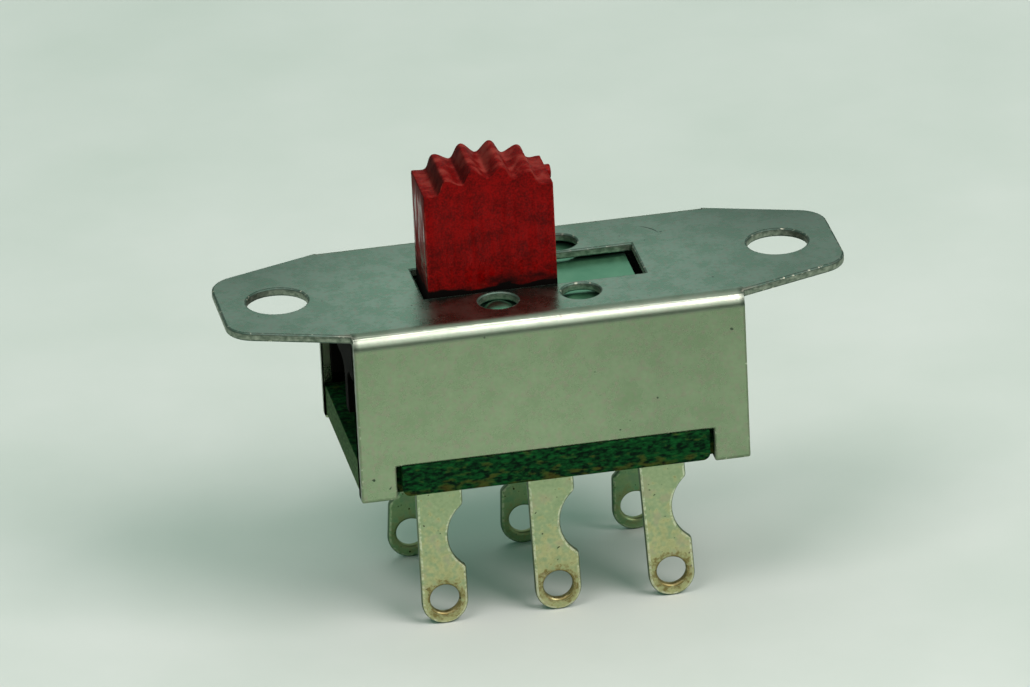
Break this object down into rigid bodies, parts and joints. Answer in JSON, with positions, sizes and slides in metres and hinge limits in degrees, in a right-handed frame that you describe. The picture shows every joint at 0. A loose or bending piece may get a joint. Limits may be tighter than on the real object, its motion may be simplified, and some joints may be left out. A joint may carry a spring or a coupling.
{
  "type": "slide switch",
  "caption": "Panel-mount slide switch: a serrated sliding knob in a folded metal housing with mounting ears, a laminate terminal board and rows of solder lugs below.",
  "frame": {"origin": "on the panel face of the housing, midway between the two mounting holes", "axes": "+X along the switch in the knob's direction of travel, +Y across it, +Z out of the panel face towards the knob's top"},
  "size_m": [0.0352, 0.013, 0.0263],
  "materials": {
    "plated_steel": "satin plated sheet, handled",
    "phenolic_laminate": "punched edge, mottled",
    "silvered_brass": "silver plated, tarnished",
    "red_phenolic": "moulded, worn on the ridges",
    "spring_steel": "satin",
    "contact_metal": "silver plated",
    "spring_wire": "drawn wire"
  },
  "bodies": {
    "switch_body": {"housing": "plated_steel", "terminal_board": "phenolic_laminate", "terminal_front_left": "silvered_brass", "terminal_front_centre": "silvered_brass", "terminal_front_right": "silvered_brass", "terminal_back_left": "silvered_brass", "terminal_back_centre": "silvered_brass", "terminal_back_right": "silvered_brass"},
    "sliding_unit": {"slider": "red_phenolic", "detent_spring": "spring_steel", "bridge_contact_front": "contact_metal", "bridge_contact_back": "contact_metal", "contact_spring_front": "spring_wire", "contact_spring_back": "spring_wire"}
  },
  "joints": [
    {"name": "knob_slide", "type": "slide", "parent": "switch_body", "child": "sliding_unit", "axis": [1, 0, 0], "range_m": [0, 0.0047], "deforming": ["detent_spring"]}
  ]
}
